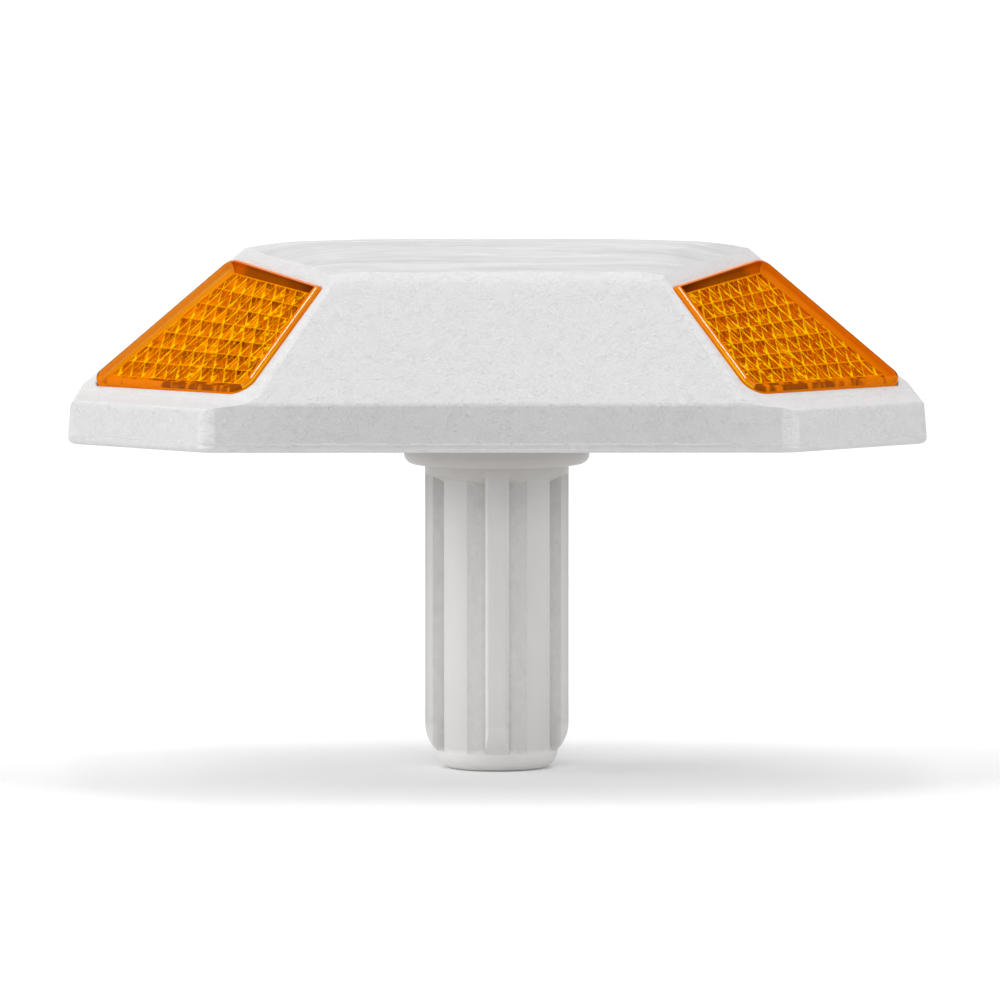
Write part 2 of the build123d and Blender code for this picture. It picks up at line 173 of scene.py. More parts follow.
# white moulded shell and base plate; places in metres, and tilts as parts of the surface's direction
# along the head (across) and up (upright); a pair is a soft step from none to all
shellFinish = {
    "white": (0.802, 0.798, 0.801),
    "specular": 0.03,
    "ior": 1.5,
    "roughness": 0.6,
    "roughnessSpread": 0.12,
    "grain": {"scale": 2400.0, "roughness": 0.6, "distortion": 0.8},
    "strokes": {"scale": 2500.0, "detail": 0.0, "distortion": 1.0},
    "strokeWidth": 0.07,
    "groups": {"scale": 800.0, "roughness": 0.6},
    "groupStep": (0.42, 0.60),
    "loneStroke": 0.35,             # strength of a stroke outside the groups
    "clouds": {"scale": 70.0, "detail": 3.0},
    "crownTilt": (0.925, 0.95),
    "crownHeight": (0.0165, 0.017),
    "longStreaks": {"stretch": (30.0, 520.0, 90.0), "detail": 4.0, "roughness": 0.6, "distortion": 0.5},
    "shortStreaks": {"stretch": (160.0, 1500.0, 300.0), "detail": 3.0, "distortion": 1.2},
    "longShare": 0.6,
    "scratches": {"stretch": (14.0, 230.0, 40.0), "distortion": 0.6},
    "scratchWidth": 0.012,
    "wallTilt": (0.2, 0.3),
    "cornerFrom": (0.02, 0.14),     # the corners' walls by their tilt across
    "cornerTo": (0.58, 0.68),
    "ripples": {"stretch": (420.0, 420.0, 1900.0), "distortion": 0.8},
    "rippleMiddle": 0.45,
    "joint": 0.00102,
    "jointWidth": 0.00012,
    "high": (0.0155, 0.0165),       # height from which the top's edges get painted highlights and painted shade
    "turned": (0.05, 0.1),          # faces that are turned away from the front and the rear
    "highlightTilt": 0.89,
    "highlightWidth": 0.06,
    "highlightHeight": (0.0172, 0.0197),
    "highlightEnd": (0.92, 0.94),
    "creaseTilt": 0.945,
    "creaseWidth": 0.012,
    "ridgeFrom": (0.06, 0.12),
    "ridgeTo": (0.28, 0.36),
    "ridgeTilt": 0.83,
    "ridgeWidth": 0.05,
    "lipFrom": (0.3, 0.36),
    "lipHeight": 0.0056,
    "lipWidth": 0.0016,
    "lipTilt": (0.7, 0.78),
    "frontReach": (0.018, 0.038),
    "frontSpecks": 0.5,             # share of the specks that the front wall lacks
    # how much each mark lightens the white; front, crown and the line above the top's edge are painted shade,
    # corners, joint, the top's edges, ridges and lip painted light
    "shades": {"all": 1.015, "clouds": 0.03, "specks": 0.10, "front": -0.085, "crown": -0.06, "streaks": 0.75,
               "scratches": 0.05, "corners": 0.12, "ripples": 0.24, "joint": 0.10, "edgeHighlight": 0.09,
               "creaseShade": -0.05, "ridges": 0.07, "lip": 0.06},
    "reliefDepth": 0.00008,
    "crownGrain": 0.6,              # share of the grain that is worn off the crown
    "reliefs": {"specks": 0.45, "streaks": 2.0, "ripples": 3.0},
}


def shellSurface(tree):
    look, shades, reliefs = shellFinish, shellFinish["shades"], shellFinish["reliefs"]
    place = tree.place()
    x, z = tree.parts(place, (0, 2))
    across, upright = tree.parts(tree.direction(), (0, 2))
    sideways = abs(across)
    grain = tree.noise(place, **look["grain"])
    # short pale strokes all over, stronger in groups
    strokes = tree.near(tree.noise(place, **look["strokes"]) - 0.5, look["strokeWidth"])
    groups = tree.rise(tree.noise(place, **look["groups"]), *look["groupStep"])
    specks = strokes * (look["loneStroke"] + (1 - look["loneStroke"]) * groups)
    clouds = tree.noise(place, **look["clouds"])
    # the top is worn in streaks along the head
    crown = tree.rise(upright, *look["crownTilt"]) * tree.rise(z, *look["crownHeight"])
    streaks = (tree.noise(place, **look["longStreaks"]) * look["longShare"]
               + tree.noise(place, **look["shortStreaks"]) * (1 - look["longShare"]))
    scratches = tree.near(tree.noise(place, **look["scratches"]) - 0.5, look["scratchWidth"])
    # fine ripples on the upright corners, which also get painted light
    wall = tree.fall(abs(upright), *look["wallTilt"])
    corners = tree.between(sideways, look["cornerFrom"], look["cornerTo"]) * wall
    ripples = tree.noise(place, **look["ripples"])
    # painted light line along the joint near the base
    joint = tree.near(z - look["joint"], look["jointWidth"])
    # painted highlights on the edges: where the top turns down, with a line of painted shade above, on the
    # ridges and the lip
    high = tree.rise(z, *look["high"])
    turned = tree.rise(sideways, *look["turned"])
    edgeHighlight = (tree.near(upright - look["highlightTilt"], look["highlightWidth"]) * high * turned
            + tree.rise(z, *look["highlightHeight"]) * tree.fall(upright, *look["highlightEnd"]) * (1 - turned))
    # painted shade line above the top's edge
    creaseShade = tree.near(upright - look["creaseTilt"], look["creaseWidth"]) * high
    ridges = (tree.between(sideways, look["ridgeFrom"], look["ridgeTo"])
              * tree.near(upright - look["ridgeTilt"], look["ridgeWidth"]))
    lip = (tree.rise(sideways, *look["lipFrom"]) * tree.near(z - look["lipHeight"], look["lipWidth"])
           * tree.rise(upright, *look["lipTilt"]))
    # the middle of the front and rear walls has fewer specks and gets painted shade
    front = (1 - turned) * wall * tree.fall(abs(x), *look["frontReach"])
    # the top gets painted shade besides its worn streaks and scratches
    wear = shades["crown"] + shades["streaks"] * (streaks - 0.5) + shades["scratches"] * scratches
    shade = (shades["all"] + shades["clouds"] * clouds + shades["front"] * front + wear * crown
             + shades["specks"] * specks * (1 - crown) * (1 - look["frontSpecks"] * front)
             + (shades["corners"] + shades["ripples"] * (ripples - look["rippleMiddle"])) * corners
             + shades["joint"] * joint + shades["edgeHighlight"] * edgeHighlight + shades["creaseShade"] * creaseShade
             + shades["ridges"] * ridges + shades["lip"] * lip)
    height = (grain * (1 - look["crownGrain"] * crown) + reliefs["specks"] * specks * (1 - crown)
              + reliefs["streaks"] * streaks * crown + reliefs["ripples"] * ripples * corners)
    return {
        "Base Color": tree.tint(look["white"], shade),
        "Roughness": look["roughness"] + (grain - 0.5) * look["roughnessSpread"],
        "Normal": tree.bump(height, look["reliefDepth"]),
    }


shellWhite = surface("shellWhite", shellSurface, {
    "IOR": shellFinish["ior"], "Specular IOR Level": shellFinish["specular"]})
dress("body_shell", shellWhite)
dress("base_plate", shellWhite)
print("shell dressed")

# the shank is white too, cloudier and a little warmer; metres down from the road, and reaches from the axis
shankFinish = {
    "white": (0.89, 0.88, 0.87),
    "flangeShadeColour": (0.53, 0.498, 0.47),
    "specular": 0.4,
    "ior": 1.5,
    "roughness": 0.42,
    "roughnessSpread": 0.2,
    "grain": {"scale": 1300.0, "stretch": (1.0, 1.0, 0.55), "detail": 4.0, "roughness": 0.7},
    "clouds": {"scale": 300.0, "stretch": (1.0, 1.0, 0.4), "detail": 3.0},
    "squareTilt": (0.985, 0.995),
    "uprightTilt": (0.05, 0.1),
    "ribsFrom": (0.0038, 0.0042),
    "ribsTo": (0.033, 0.034),
    "ribReach": (0.0076, 0.0079),
    "flangeShade": (-0.002, 0.012),
    "ribHalf": 0.0013,
    "edgeWidth": 0.0002,
    "edgeReach": (0.0059, 0.0062),
    "tip": (0.0366, 0.0374),
    "ribEnd": (0.0335, 0.0346),
    "ribEndReach": (0.0068, 0.0074),
    "flankReach": (0.0058, 0.0063),
    # how much each mark lightens the white; flats, edges, tip and the ribs' ends are painted light, and
    # flanks painted shade
    "shades": {"all": 0.93, "clouds": 0.09, "flats": 0.04, "rough": 0.07, "grain": -0.22, "edges": 0.06,
               "tip": 0.17, "ribEnds": 0.10, "flanks": -0.13},
    "reliefDepth": 0.0001,
    "reliefs": {"all": 0.35, "rough": 1.9},
}


def shankSurface(tree):
    look, shades, reliefs = shankFinish, shankFinish["shades"], shankFinish["reliefs"]
    place = tree.place()
    x, y, z = tree.parts(place)
    across, deep, upright = tree.parts(tree.direction())
    down = 0 - z
    reach = tree.largest(abs(x), abs(y))
    ribbed = tree.rise(down, *look["ribsFrom"])
    # the flats beside the ribs came out of the mould rougher than the rest; all the square faces get painted
    # light
    square = tree.rise(tree.largest(abs(across), abs(deep)), *look["squareTilt"])
    flats = square * tree.fall(abs(upright), *look["uprightTilt"]) * ribbed
    rough = flats * tree.fall(reach, *look["ribReach"])
    grain = tree.noise(place, **look["grain"])
    clouds = tree.noise(place, **look["clouds"])
    # painted shade, darker and warmer, towards the flange under the head, and painted highlights along the
    # edges of the ribs
    flangeShade = tree.fall(down, *look["flangeShade"])
    edges = (tree.near(tree.smallest(abs(x), abs(y)) - look["ribHalf"], look["edgeWidth"])
             * tree.rise(reach, *look["edgeReach"]) * ribbed * tree.fall(down, *look["ribsTo"]))
    # painted light on the tip and on the ribs' lower ends
    tip = tree.rise(down, *look["tip"])
    ribEnds = tree.rise(down, *look["ribEnd"]) * tree.rise(reach, *look["ribEndReach"]) * (1 - tip)
    # painted shade on the sides of the ribs
    outAlongRib = tree.largest(abs(x) * abs(deep), abs(y) * abs(across))
    flanks = rough * tree.rise(outAlongRib, *look["flankReach"])
    shade = (shades["all"] + shades["clouds"] * clouds + shades["flats"] * flats
             + (shades["rough"] + shades["grain"] * grain) * rough + shades["edges"] * edges
             + shades["tip"] * tip + shades["ribEnds"] * ribEnds + shades["flanks"] * flanks)
    return {
        "Base Color": tree.tint(tree.mix(flangeShade, look["white"], look["flangeShadeColour"]), shade),
        "Roughness": look["roughness"] + (grain - 0.5) * look["roughnessSpread"],
        "Normal": tree.bump(grain * (reliefs["all"] + reliefs["rough"] * rough), look["reliefDepth"]),
    }


shankWhite = surface("shankWhite", shankSurface, {
    "IOR": shankFinish["ior"], "Specular IOR Level": shankFinish["specular"]})
dress("shank", shankWhite)
print("shank dressed")

# pieces inside, each slightly uneven in colour and gloss
innerFinishes = {
    "flange_seal": {"colour": (0.03, 0.03, 0.03), "roughness": 0.7, "metallic": 0.0},
    "shank_insert": {"colour": (0.78, 0.58, 0.26), "roughness": 0.3, "metallic": 1.0},
    "shank_bolt": {"colour": (0.6, 0.6, 0.6), "roughness": 0.35, "metallic": 1.0},
    "bolt_washer": {"colour": (0.6, 0.6, 0.6), "roughness": 0.3, "metallic": 1.0},
}
innerWear = {"noise": {"scale": 900.0}, "darkest": 0.94, "shadeSpread": 0.12, "roughnessSpread": 0.1}


def plainSurface(finish):
    def build(tree):
        wear = tree.noise(tree.place(), **innerWear["noise"])
        return {
            "Base Color": tree.tint(finish["colour"], innerWear["darkest"] + innerWear["shadeSpread"] * wear),
            "Roughness": finish["roughness"] + (wear - 0.5) * innerWear["roughnessSpread"],
        }
    return build


for nodeName, finish in innerFinishes.items():
    material = surface(nodeName + "Finish", plainSurface(finish), {"Metallic": finish["metallic"]})
    dress(nodeName, material)
print("inner pieces dressed")

# amber lens units in millimetres, drawn on the rear right slope and mirrored to the others; corners run
# from the end's foot to the ridge's foot, the ridge's top and the end's top
lensUnit = {
    "slope": 34.6,
    "foot": 44.514,             # from the shank's axis to the foot of the slope
    "footHeight": 5.55,
    "outline": [(-23.277, 1.8), (2.143, 1.8), (-2.192, 21.901), (-19.681, 25.617)],
    "cornerRadii": [1.2, 2.0, 0.9, 1.6],
    "leastRadius": 0.25,
    "arcSteps": 8,
    "gap": 0.07,
    "bottom": -0.9,
    "seam": 0.02,               # where the rim comes out of the shell
    "rimFaces": [               # faces of the rim's rounded edge by angle from upright and width
        (6, 0.10), (18, 0.10), (30, 0.10), (42, 0.10), (52, 0.10), (61, 0.12), (70, 0.10), (80, 0.09)],
    "rim": 0.62,
    "rimFoot": 0.70,            # inset of the rim's inner foot
    "floor": 0.12,
    "skirt": 0.7,               # how far the margin goes on below the prisms' edge
    "frontLift": 0.70,          # the rims of the front lenses stand higher at the end
    "rearLift": -0.2,           # and those of the rear ones lower
    "liftPower": 3,
    "lowLift": 0.24,            # share of the lift at the bottom
    "liftHeight": 0.08,         # share of the lens's height from which the lift is whole
    "footLift": 0.7,            # share of the lift at the rim's inner foot
    "field": [(-21.7, 3.62), (1.02, 3.46), (-3.4, 20.6), (-18.24, 23.62)],
    "rows": 7,
    "pitch": 1.95,
    "lean": 0.15,               # how far each row of prisms is shifted towards the ridge
    "spareColumns": 2,          # drawn past the field and trimmed
    "prismDepth": 0.28,
    "depthSpread": (0.8, 1.1),
    "pitShift": 0.12,
    "seeds": {"rear_right": 3, "rear_left": 5, "front_right": 7, "front_left": 11},
}
# depth of a point of the tray: how far in it lies, from the wall in the pocket over the rounded edge and
# the flat top to the margin
trayMarks = {"pocket": 0.0, "seam": 0.05, "edge": 0.1, "edgeStep": 0.075, "top": 0.7, "topEnd": 0.75,
             "margin": 1.0}
flips = {"rear_right": (1, 1), "rear_left": (-1, 1), "front_right": (1, -1), "front_left": (-1, -1)}
tilt = math.radians(lensUnit["slope"])
footSide = lensUnit["foot"] / math.sqrt(2)
lensOrigin = Vector((footSide, footSide, lensUnit["footHeight"]))
lensAlong = Vector((-1, 1, 0)).normalized()
lensNormal = Vector((math.sin(tilt), math.sin(tilt), math.sqrt(2) * math.cos(tilt))).normalized()
lensUp = lensNormal.cross(lensAlong)
outline = [Vector(corner) for corner in lensUnit["outline"]]
field = [Vector(corner) for corner in lensUnit["field"]]


def lensPoint(flip, u, v, height):
    point = lensOrigin + lensAlong * u + lensUp * v + lensNormal * height
    return Vector((point.x * flip[0], point.y * flip[1], point.z)) * mm


def insetOutline(margin):
    lines = []
    for start, end in zip(outline, outline[1:] + outline[:1]):
        way = (end - start).normalized()
        lines.append((start + Vector((-way.y, way.x)) * margin, way))
    corners = []
    for number in range(4):
        (p, d), (q, e) = lines[number - 1], lines[number]
        step = (q - p).cross(e) / d.cross(e)
        corners.append(p + d * step)
    return corners


# every corner gives an arc of arcSteps + 1 points
def roundedLoop(inset):
    quad = insetOutline(inset)
    steps = lensUnit["arcSteps"]
    loop = []
    for number, corner in enumerate(quad):
        before = (quad[number - 1] - corner).normalized()
        after = (quad[(number + 1) % 4] - corner).normalized()
        half = before.angle(after) / 2
        radius = max(lensUnit["cornerRadii"][number] - inset, lensUnit["leastRadius"])
        centre = corner + (before + after).normalized() * (radius / math.sin(half))
        first = corner + before * (radius / math.tan(half)) - centre
        turn = math.pi - 2 * half
        for step in range(steps + 1):
            angle = turn * step / steps
            loop.append(centre + Vector((
                first.x * math.cos(angle) - first.y * math.sin(angle),
                first.x * math.sin(angle) + first.y * math.cos(angle))))
    return loop


# which side a stretch of the loop lies on: 0 bottom, 1 ridge, 2 top, 3 end
def loopSide(number):
    corner, step = divmod(number, lensUnit["arcSteps"] + 1)
    return corner if step >= lensUnit["arcSteps"] // 2 else (corner - 1) % 4


# from end to ridge and from bottom to top, both 0 to 1
def lensShare(u, v):
    t = (v - outline[0].y) / (outline[3].y - outline[0].y)
    low = outline[0].lerp(outline[3], t).x
    high = outline[1].lerp(outline[2], t).x
    return (u - low) / (high - low), t


# the rim rises or falls towards the lens's end, less at the bottom
def endLift(flip, point):
    lift = lensUnit["frontLift"] if flip[1] < 0 else lensUnit["rearLift"]
    share, height = (min(max(part, 0.0), 1.0) for part in lensShare(*point))
    low = lensUnit["lowLift"]
    upward = low + (1 - low) * min(height / lensUnit["liftHeight"], 1.0)
    return lift * (1 - share) ** lensUnit["liftPower"] * upward


# collects faces with two layers: mark, which each piece uses in its own way, and share, which holds
# lensShare and a random number
class Builder:
    def __init__(self, flip):
        self.flip = flip
        self.points = []
        self.faces = []
        self.marks = []
        self.shares = []

    def face(self, corners, marks, luck=0.0):
        first = len(self.points)
        self.points += [lensPoint(self.flip, *corner) for corner in corners]
        order = list(range(len(corners)))
        if self.flip[0] * self.flip[1] < 0:
            order.reverse()
        self.faces.append([first + number for number in order])
        self.marks += [marks[number] for number in order]
        self.shares += [(*lensShare(*corners[number][:2]), luck, 1.0) for number in order]

    def finish(self, name, material):
        mesh = bpy.data.meshes.new(name)
        mesh.from_pydata(self.points, [], self.faces)
        for layer, values in (("mark", self.marks), ("share", self.shares)):
            data = mesh.color_attributes.new(layer, "FLOAT_COLOR", "CORNER")
            data.data.foreach_set("color", [part for value in values for part in value])
        mesh.materials.append(material)
        made = bpy.data.objects.new(name, mesh)
        bpy.context.scene.collection.objects.link(made)
        return made


# a point of the lattice: rows fan out from the bottom's direction to the top's
def latticePoint(row, number):
    share = row / lensUnit["rows"]
    start, end = field[0].lerp(field[3], share), field[1].lerp(field[2], share)
    u = field[1].x + lensUnit["lean"] * row - lensUnit["pitch"] * number
    return Vector((u, start.y + (end.y - start.y) * (u - start.x) / (end.x - start.x)))


# keeps the part of a polygon that lies in the field; corners carry height and marks along
def trimmed(corners):
    for start, end in zip(field, field[1:] + field[:1]):
        way = (end - start).normalized()
        inside = [(Vector(corner[:2]) - start).dot(Vector((-way.y, way.x))) for corner in corners]
        kept = []
        for number, corner in enumerate(corners):
            before, last = corners[number - 1], inside[number - 1]
            if (last < 0) != (inside[number] < 0):
                share = last / (last - inside[number])
                kept.append(tuple(p + (q - p) * share for p, q in zip(before, corner)))
            if inside[number] >= 0:
                kept.append(corner)
        corners = kept
        if len(corners) < 3:
            return []
    return corners


# pits with three sides; their mark is the share of each corner, and 1 where the prism points up
def prismSheet(flip, name, material, seed):
    rng = random.Random(seed)
    sheet = Builder(flip)
    floor, shift, spare = lensUnit["floor"], lensUnit["pitShift"], lensUnit["spareColumns"]
    columns = round((field[1].x - field[0].x) / lensUnit["pitch"])
    cornerMarks = [(1, 0, 0), (0, 1, 0), (0, 0, 1)]
    pitMark = (1 / 3, 1 / 3, 1 / 3)
    for row in range(lensUnit["rows"]):
        for number in range(-spare, columns + spare + 1):
            low = [latticePoint(row, number + 1), latticePoint(row, number)]
            high = [latticePoint(row + 1, number + 1), latticePoint(row + 1, number)]
            for a, b, tip, up in ((low[0], low[1], high[0], 1.0), (high[0], high[1], low[1], 0.0)):
                luck = rng.random()
                middle = (a + b + tip) / 3 + Vector((rng.uniform(-shift, shift), rng.uniform(-shift, shift)))
                depth = lensUnit["prismDepth"] * rng.uniform(*lensUnit["depthSpread"])
                pit = (*middle, floor - depth, *pitMark)
                ring = [(*point, floor, *mark) for point, mark in zip((a, b, tip), cornerMarks)]
                for side in range(3):
                    three = [ring[side], ring[(side + 1) % 3], pit]
                    if up == 0.0:
                        three.reverse()
                    kept = trimmed(three)
                    if kept:
                        sheet.face([point[:3] for point in kept], [(*point[3:], up) for point in kept], luck)
    return sheet.finish(name, material)


# the point of a segment that lies nearest to a point
def nearest(point, start, end):
    way = end - start
    share = min(max((point - start).dot(way) / way.length_squared, 0.0), 1.0)
    return start + way * share


# the tray's loops from outside to inside: inset, height, mark and share of the lift
def trayRings():
    gap, seam = lensUnit["gap"], lensUnit["seam"]
    rings = [
        (-gap, lensUnit["bottom"], trayMarks["pocket"], 0),
        (-gap, -seam, trayMarks["pocket"], 0),
        (0.0, 0.0, trayMarks["seam"], 0),
    ]
    inset, height = 0.0, seam
    for step, (angle, width) in enumerate(lensUnit["rimFaces"]):
        rings.append((inset, height, trayMarks["edge"] + trayMarks["edgeStep"] * step, 1))
        inset += width * math.sin(math.radians(angle))
        height += width * math.cos(math.radians(angle))
    rings.append((inset, height, trayMarks["top"], 1))
    rings.append((lensUnit["rim"], height, trayMarks["topEnd"], 1))
    rings.append((lensUnit["rimFoot"], lensUnit["floor"], trayMarks["margin"], lensUnit["footLift"]))
    return rings


# rim with a rounded edge that stands out of the shell, and the level margin inside it; the mark is the
# depth, the side and 1 at the prisms' edge
def lensTray(flip, name, material):
    tray = Builder(flip)
    floor, skirt, depth = lensUnit["floor"], lensUnit["floor"] - lensUnit["skirt"], trayMarks["margin"]
    loops = []
    for inset, height, mark, lifted in trayRings():
        loop = roundedLoop(inset)
        loops.append(([(*point, height + lifted * endLift(flip, point)) for point in loop], mark))
    count = len(loops[0][0])
    for (outer, outerMark), (inner, innerMark) in zip(loops, loops[1:]):
        for number in range(count):
            after = (number + 1) % count
            side = loopSide(number) / 3
            tray.face(
                [outer[number], outer[after], inner[after], inner[number]],
                [(outerMark, side, 0.0, 1.0)] * 2 + [(innerMark, side, 0.0, 1.0)] * 2)
    last = loops[-1][0]
    inner = [Vector(point[:2]) for point in last]
    # the margin joins the rim's foot to the field, and goes on below it so that no gap opens there
    for number in range(count):
        after = (number + 1) % count
        side = loopSide(number)
        first, second = (nearest(inner[step], field[side], field[(side + 1) % 4]) for step in (number, after))
        tray.face(
            [last[number], last[after], (*second, floor), (*first, floor)],
            [(depth, side / 3, 0.0, 1.0)] * 2 + [(depth, side / 3, 1.0, 1.0)] * 2)
        tray.face(
            [(*first, floor), (*second, floor), (*second, skirt), (*first, skirt)],
            [(depth, side / 3, 1.0, 1.0)] * 4)
    return tray.finish(name, material)


# glint, line and rung are colours of painted highlights and reflections, rose of a painted reflection
amber = {
    "glint": (1.0, 0.68, 0.001),
    "line": (1.0, 0.52, 0.0005),
    "rung": (1.0, 0.33, 0.0003),
    "bright": (0.90, 0.215, 0.0003),
    "middle": (0.60, 0.112, 0.0003),
    "brown": (0.37, 0.066, 0.0002),
    "shade": (0.35, 0.075, 0.0008),
    "dark": (0.18, 0.028, 0.0002),
    "red": (0.40, 0.045, 0.0005),
    "band": (1.0, 0.40, 0.035),
    "edge": (0.32, 0.05, 0.001),
    "deep": (0.72, 0.085, 0.0002),
    "rose": (0.90, 0.27, 0.10),
    "wall": (0.82, 0.19, 0.002),
    "wallPale": (1.0, 0.30, 0.003),
    "ior": 1.49,
    "middleStep": (-0.001, 0.001),      # from the left lenses to the right ones, in metres
}


# the lenses on the right get painted shade, browner and with more contrast, and wider, brighter painted
# highlights
def rightSide(tree, place):
    x = tree.parts(place)[0]
    return tree.rise(x, *amber["middleStep"])


# lines and widths as shares of a prism's height, patches and luck from 0 to 1
prismLook = {
    "bend": {"scale": 560.0, "detail": 1.0},
    "bendReach": 0.24,
    "fine": {"scale": 1500.0},
    "patch": {"scale": 650.0, "detail": 1.0},
    "steepWidth": 0.045,
    "footWidth": 0.11,
    "footWidthRight": 0.02,
    "steepFine": (0.3, 0.7),
    "steepTop": 0.45,               # strength of a steep edge away from its foot
    "slantWidth": 0.035,
    "slantSpread": 0.05,
    "slantSpreadRight": 0.03,
    "slantFine": (0.35, 0.7),
    "slantPatch": (0.12, 0.40),
    "ghostAt": 0.2,
    "ghostWidth": 0.05,
    "ghostLuck": (0.45, 0.75),
    "ghostShare": 0.7,
    "echoAt": 0.32,
    "echoShift": 0.3,
    "echoWidth": 0.035,
    "echoPatch": (0.25, 0.5),
    "echoShare": 0.6,
    "thirdAt": 0.25,
    "thirdShift": 0.4,
    "thirdWidth": 0.03,
    "thirdPatch": (0.4, 0.6),
    "thirdShare": 0.4,
    "rungWidth": 0.06,
    "rungLeast": 0.45,
    "rungFine": 0.5,
    "underTip": (0.05, 0.65),
    "underLuck": (0.1, 0.6),
    # what makes the ground lighter, and the steps from one colour of it to the next; the prisms that point up
    # get painted light, and those under an edge, towards the ridge and on the right painted shade
    "tones": {"all": 0.60, "up": 0.14, "under": -0.32, "luck": 0.35, "patch": 1.1, "ridge": -0.18,
              "right": -0.13},
    "ridgeMiddle": 0.35,
    "grounds": [("brown", 0.05, 0.28), ("middle", 0.22, 0.50), ("bright", 0.55, 0.95)],
    "deepRight": 0.42,
    "glintRight": 0.5,
    "glintStep": (0.32, 0.42),
    "glintFrom": (0.25, 0.7),
    "blobFoot": (0.55, 0.85),
    "blobWidth": 0.26,
    "blobLuck": 0.7,
    "blobPatch": 0.6,
    "blobStep": (0.55, 0.75),
    "glintShare": 0.85,
    "roughness": 0.25,
    "roughnessSpread": 0.2,
    "specular": 0.0,
}


def prismSurface(tree):
    look, tones = prismLook, prismLook["tones"]
    first, second, tip, up = tree.layer("mark", (0, 1, 2, 3))
    share, luck = tree.layer("share", (0, 2))
    place = tree.place()
    bend = tree.noise(place, **look["bend"]) - 0.5
    fine = tree.noise(place, **look["fine"])
    patch = tree.noise(place, **look["patch"])
    right = rightSide(tree, place)
    down = 1 - up
    # every prism has a steep and a slanting edge with a painted highlight; the steep one is strongest at its
    # foot
    steep = first * up + second * down + bend * look["bendReach"]
    slant = second * up + first * down - bend * look["bendReach"]
    foot = tree.clamp(second * up + tip * down)
    footWidth = (look["footWidth"] + look["footWidthRight"] * right) * foot
    steepWidth = look["steepWidth"] + footWidth * tree.rise(fine, *look["steepFine"])
    steepLine = tree.near(steep, steepWidth) * (look["steepTop"] + (1 - look["steepTop"]) * foot)
    slantSpread = look["slantSpread"] + look["slantSpreadRight"] * right
    slantWidth = look["slantWidth"] + slantSpread * tree.rise(fine, *look["slantFine"])
    slantLine = tree.near(slant, slantWidth) * tree.rise(patch, *look["slantPatch"])
    # fainter painted reflections of edges that show through from the back of the prisms
    ghost = tree.near(slant - look["ghostAt"], look["ghostWidth"]) * tree.rise(luck, *look["ghostLuck"]) * up
    echo = (tree.near(slant - look["echoAt"] - look["echoShift"] * luck, look["echoWidth"])
            * tree.rise(patch, *look["echoPatch"]))
    third = (tree.near(steep - look["thirdAt"] - look["thirdShift"] * luck, look["thirdWidth"])
             * tree.fall(patch, *look["thirdPatch"]))
    faint = tree.largest(ghost * look["ghostShare"],
                         tree.largest(echo * look["echoShare"], third * look["thirdShare"]))
    # painted light along the rows' edges
    rung = tree.near(tip, look["rungWidth"])
    # painted shade under the upper edge of some prisms that point down, and towards the ridge
    under = down * tree.fall(tip, *look["underTip"]) * tree.rise(luck, *look["underLuck"])
    tone = (tones["all"] + tones["up"] * up + tones["under"] * under + tones["luck"] * (luck - 0.5)
            + tones["patch"] * (patch - 0.5) + tones["ridge"] * (share - look["ridgeMiddle"])
            + tones["right"] * right)
    ground = amber["dark"]
    for name, low, high in look["grounds"]:
        ground = tree.mix(tree.rise(tone, low, high), ground, amber[name])
    ground = tree.mix(right * look["deepRight"], ground, amber["deep"])
    colour = tree.mix(rung * (look["rungLeast"] + look["rungFine"] * fine), ground, amber["rung"])
    colour = tree.mix(faint, colour, amber["line"])
    lineColour = tree.mix(right * look["glintRight"], amber["line"], amber["glint"])
    colour = tree.mix(tree.clamp(tree.largest(steepLine, slantLine)), colour, lineColour)
    # painted glints, most of them at the foot of the steep edges
    glints = tree.rise(fine * patch, *look["glintStep"]) * tree.rise(share, *look["glintFrom"])
    blobs = (tree.rise(foot, *look["blobFoot"]) * tree.near(steep, look["blobWidth"])
             * tree.rise(luck * look["blobLuck"] + patch * look["blobPatch"], *look["blobStep"]))
    colour = tree.mix(tree.largest(glints, blobs) * look["glintShare"], colour, amber["glint"])
    return {"Base Color": colour, "Roughness": look["roughness"] + look["roughnessSpread"] * fine}


# steps of the depth lie between trayMarks; shares run from the end to the ridge and from bottom to top
trayLook = {
    "ticks": {"stretch": (900.0, 900.0, 60.0), "detail": 1.0},
    "clouds": {"scale": 330.0},
    "sideWidth": 0.15,
    "level": (0.985, 0.998),
    "topShade": (0.16, 0.26),
    "topShadeClouds": 0.2,
    "topDark": (0.55, 0.95),
    "topDarkClouds": 0.3,
    "tickShade": (0.35, 0.60),
    "tickStep": (0.38, 0.58),
    "tickLean": 0.24,
    "tickMiddle": 0.42,
    "innerBand": (0.35, 0.5),
    "fieldEdge": (0.86, 0.94),
    "ridgeLineAt": 0.28,
    "ridgeLineWidth": 0.1,
    "ridgeLineHeight": (0.15, 0.55),
    "roseShare": 0.7,
    "endEdge": (0.70, 0.735),
    "bottomFrom": (0.16, 0.22),
    "marginFrom": (0.74, 0.78),
    "polishedFrom": (0.465, 0.48),
    "polishedTo": (0.545, 0.56),
    "roughness": 0.16,
    "roughnessSpread": 0.1,
    "specular": 0.02,
    "coatRoughness": 0.04,
    "coatIor": 1.6,
}


